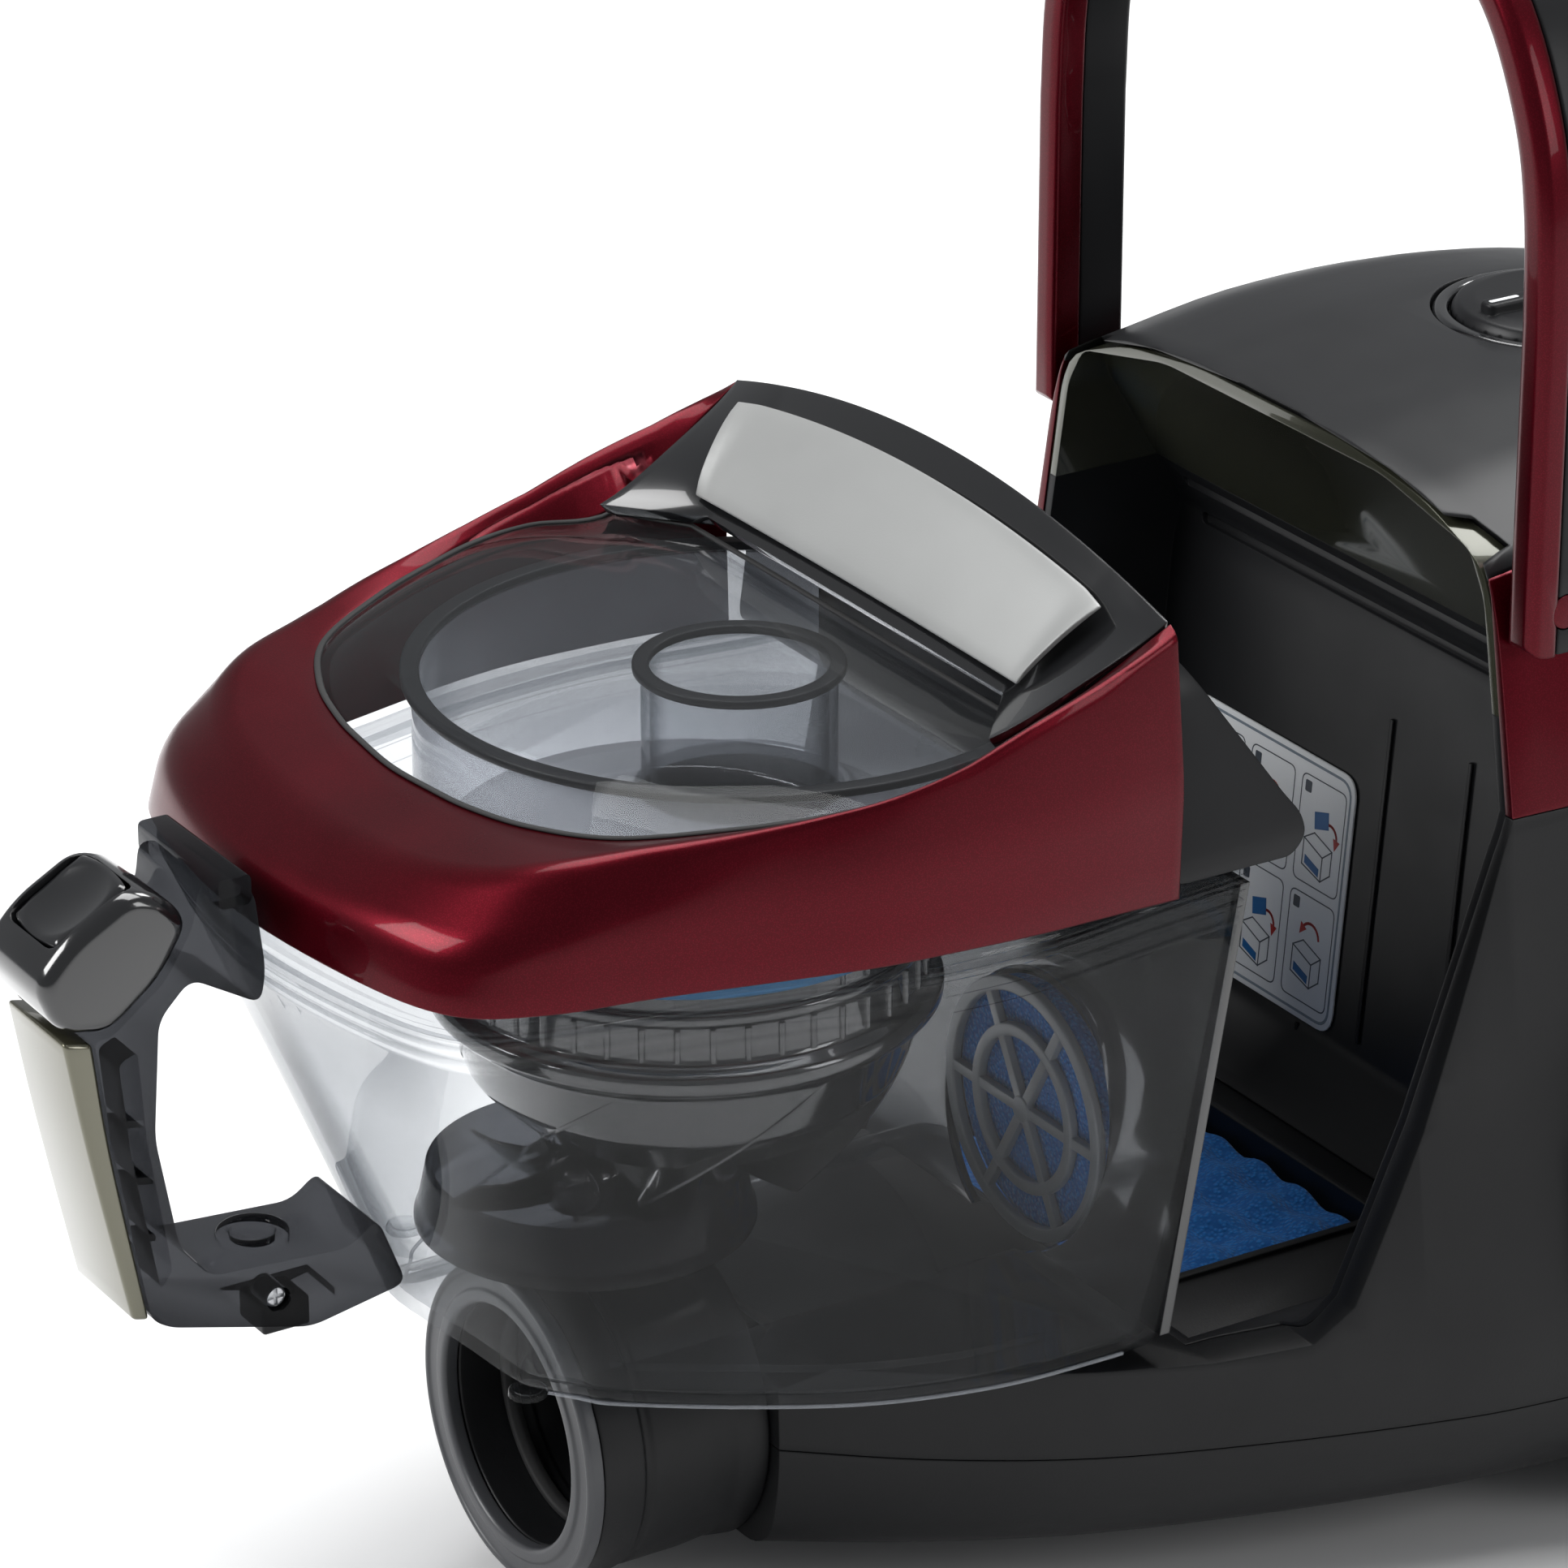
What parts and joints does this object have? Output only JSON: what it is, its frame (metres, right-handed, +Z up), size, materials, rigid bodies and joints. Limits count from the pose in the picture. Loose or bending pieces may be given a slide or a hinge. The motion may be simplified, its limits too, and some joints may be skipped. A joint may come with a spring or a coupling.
{
  "type": "canister vacuum cleaner",
  "caption": "Bagless canister vacuum with a pull-out clear dust bin, a cyclone and turbine inside, rear wheels, a front caster and a folding carry handle.",
  "frame": {"origin": "middle of the whole object's footprint box, on the floor, with the bin pulled forward", "axes": "+Z up, -Y towards the hose inlet and the bin handle, X = 0 the plane of symmetry"},
  "size_m": [0.268, 0.5089, 0.402],
  "materials": {
    "shell_black": "fine satin texture",
    "gloss_black": "piano gloss",
    "metallic_red": "metallic lacquer under clear coat",
    "clear_plastic": "polished transparent plastic",
    "smoke_plastic": "smoke-tinted transparent plastic",
    "silver_plate": "satin",
    "rubber": "matte",
    "foam": "open-cell foam",
    "felt": "needled felt",
    "metal": "brushed",
    "board": "solder-resist green",
    "label": "printed film",
    "grey_plastic": "satin"
  },
  "bodies": {
    "root": {"base_shell": "shell_black", "body_shell": "shell_black", "side_trim_left": "metallic_red", "side_trim_right": "metallic_red", "top_panel": "gloss_black", "knob_bezel": "gloss_black", "dock_liner": "shell_black", "dock_floor": "shell_black", "felt_filter": "felt", "foam_filter": "foam", "dock_label": "label", "inlet_ring": "grey_plastic", "inlet_neck": "shell_black", "inlet_seal": "rubber", "inlet_duct": "shell_black", "motor_housing": "shell_black", "motor_seal": "rubber", "motor": "metal", "reel_bracket": "grey_plastic", "circuit_board": "board", "exhaust_filter": "felt", "exhaust_grille": "gloss_black", "cord_outlet": "rubber", "axle_left": "metal", "axle_right": "metal"},
    "fan": {"fan_impeller": "metal"},
    "reel": {"cord_reel": "shell_black"},
    "wheel_left": {"wheel_hub_left": "shell_black", "tyre_left": "rubber"},
    "wheel_right": {"wheel_hub_right": "shell_black", "tyre_right": "rubber"},
    "caster_fork": {"caster_fork": "grey_plastic"},
    "caster_wheel": {"caster_wheel": "rubber"},
    "power_knob": {"power_knob": "gloss_black"},
    "rewind_button": {"rewind_button": "gloss_black"},
    "carry_handle": {"carry_handle_shell": "metallic_red", "carry_handle_grip": "grey_plastic"},
    "bin": {"lid_cover": "metallic_red", "lid_window": "clear_plastic", "lid_panel": "gloss_black", "lid_plate": "silver_plate", "lid_rear_frame": "shell_black", "bin_container": "clear_plastic", "lid_rim": "clear_plastic", "bin_back_plate": "gloss_black", "outlet_grille": "grey_plastic", "outlet_foam": "foam", "cyclone_sleeve": "clear_plastic", "cyclone_seal": "gloss_black", "vortex_tube": "clear_plastic", "vortex_seal": "gloss_black", "cyclone_drum": "smoke_plastic", "turbine_cup": "clear_plastic", "bin_handle": "smoke_plastic", "handle_front_cover": "gloss_black", "handle_cap": "gloss_black", "handle_screw": "metal"},
    "turbine": {"turbine_rotor": "smoke_plastic"},
    "push_button": {"push_button": "gloss_black"},
    "bin_latch": {"bin_latch": "gloss_black"}
  },
  "joints": [
    {"name": "fan_spin", "type": "hinge", "parent": "root", "child": "fan", "pos_m": [0, 0.1435, 0.084], "axis": [0, 1, 0], "continuous": true},
    {"name": "reel_spin", "type": "hinge", "parent": "root", "child": "reel", "pos_m": [0, 0.1865, 0.18], "axis": [0, 0, 1], "continuous": true},
    {"name": "wheel_left_spin", "type": "hinge", "parent": "root", "child": "wheel_left", "pos_m": [-0.119, 0.1695, 0.075], "axis": [1, 0, 0], "continuous": true},
    {"name": "wheel_right_spin", "type": "hinge", "parent": "root", "child": "wheel_right", "pos_m": [0.119, 0.1695, 0.075], "axis": [1, 0, 0], "continuous": true},
    {"name": "caster_swivel", "type": "hinge", "parent": "root", "child": "caster_fork", "pos_m": [0, -0.0195, 0.022], "axis": [0, 0, 1], "continuous": true},
    {"name": "caster_wheel_spin", "type": "hinge", "parent": "caster_fork", "child": "caster_wheel", "pos_m": [0, -0.0125, 0.011], "axis": [1, 0, 0], "continuous": true},
    {"name": "power_knob_turn", "type": "hinge", "parent": "root", "child": "power_knob", "pos_m": [0, 0.1605, 0.262], "axis": [0, 0, -1], "range_deg": [0, 150]},
    {"name": "rewind_press", "type": "slide", "parent": "root", "child": "rewind_button", "axis": [0, 0, -1], "range_m": [0, 0.004], "stiffness_N_per_m": 400, "springref_m": -0.002},
    {"name": "carry_handle_fold", "type": "hinge", "parent": "root", "child": "carry_handle", "pos_m": [0, 0.0875, 0.236], "axis": [-1, 0, 0], "range_deg": [0, 72]},
    {"name": "bin_slide", "type": "slide", "parent": "root", "child": "bin", "axis": [0, 1, 0], "range_m": [-0.06, 0.09]},
    {"name": "turbine_spin", "type": "hinge", "parent": "bin", "child": "turbine", "pos_m": [-0.008, -0.1075, 0.1], "axis": [0, 0, 1], "continuous": true},
    {"name": "button_press", "type": "slide", "parent": "bin", "child": "push_button", "axis": [0, 0.5199, -0.8542], "range_m": [0, 0.0035], "stiffness_N_per_m": 500, "springref_m": -0.002},
    {"name": "latch_release", "type": "slide", "parent": "bin", "child": "bin_latch", "axis": [0, -1, 0], "range_m": [0, 0.0028]}
  ],
  "couplings": [
    {"joint": "latch_release", "follows": "button_press", "ratio": 0.8}
  ]
}
